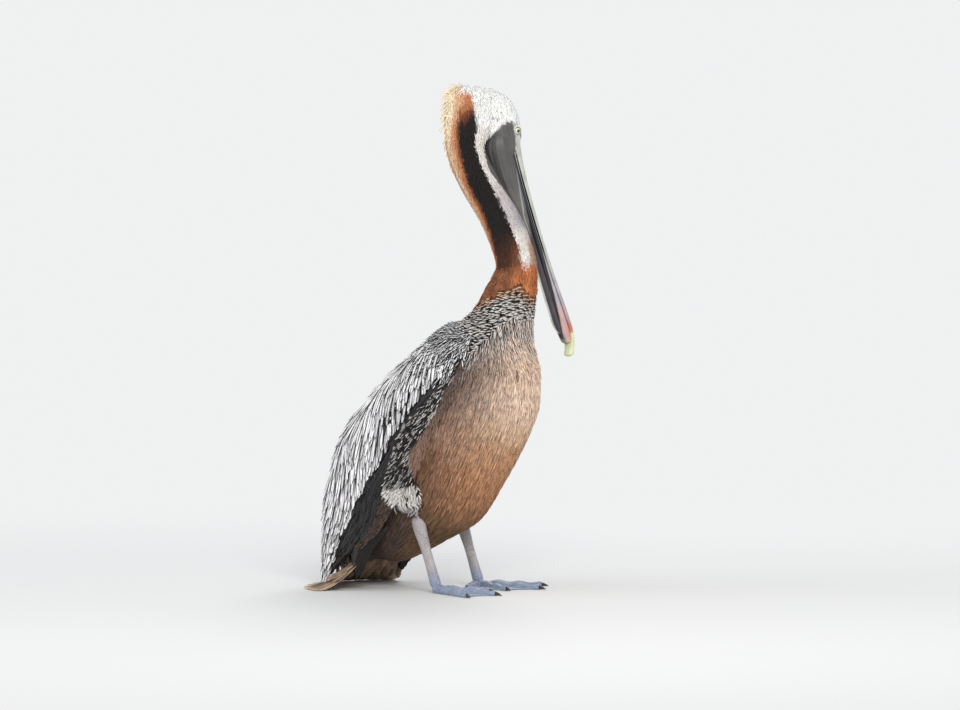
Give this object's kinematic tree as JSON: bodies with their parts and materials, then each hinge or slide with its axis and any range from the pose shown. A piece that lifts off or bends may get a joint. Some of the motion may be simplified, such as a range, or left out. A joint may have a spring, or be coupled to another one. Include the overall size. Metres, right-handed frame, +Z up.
{
  "type": "brown pelican",
  "caption": "Life-size brown pelican standing upright on webbed feet, wings folded, head turned aside with the long bill pointing down along the neck.",
  "frame": {"origin": "middle of the bounding box on the floor, under the belly", "axes": "+X the way the body faces, +Y the bird's left, +Z up"},
  "size_m": [0.3544, 0.2315, 0.7069],
  "materials": {
    "plumage_body": "greyish-brown breast and belly feathers with fine pale streaks",
    "plumage_neck": "short velvety feathers, blackish brown with a chestnut band behind and a white line in front",
    "plumage_head": "short white feathers",
    "plumage_coverts": "silver-grey lance-shaped feathers with dark edges",
    "plumage_flight": "blackish flight feathers, slightly glossy",
    "plumage_tail": "grey-brown tail feathers with pale tips",
    "bill_horn": "satin horn, grey with a pale ridge and a yellowish nail",
    "pouch_skin": "dark grey wrinkled bare skin",
    "leg_skin": "blue-grey scaly skin with wrinkled webs",
    "claw_horn": "dark horn",
    "eye": "wet eye with a pale straw iris and a dark pupil"
  },
  "bodies": {
    "root": {"trunk": "plumage_body", "neck_lower": "plumage_neck", "neck_upper": "plumage_neck", "head": "plumage_head", "bill_upper": "bill_horn", "bill_lower": "bill_horn", "pouch": "pouch_skin", "eye_right": "eye", "eye_left": "eye", "wing_right_coverts": "plumage_coverts", "wing_right_flight": "plumage_flight", "wing_right_primaries": "plumage_flight", "wing_left_coverts": "plumage_coverts", "wing_left_flight": "plumage_flight", "wing_left_primaries": "plumage_flight", "thigh_right": "plumage_body", "thigh_left": "plumage_body", "shank_right": "leg_skin", "shank_left": "leg_skin", "foot_right": "leg_skin", "foot_left": "leg_skin", "claw_right_outer": "claw_horn", "claw_right_middle": "claw_horn", "claw_right_inner": "claw_horn", "claw_right_hind": "claw_horn", "claw_left_outer": "claw_horn", "claw_left_middle": "claw_horn", "claw_left_inner": "claw_horn", "claw_left_hind": "claw_horn", "tail": "plumage_tail"}
  },
  "joints": []
}
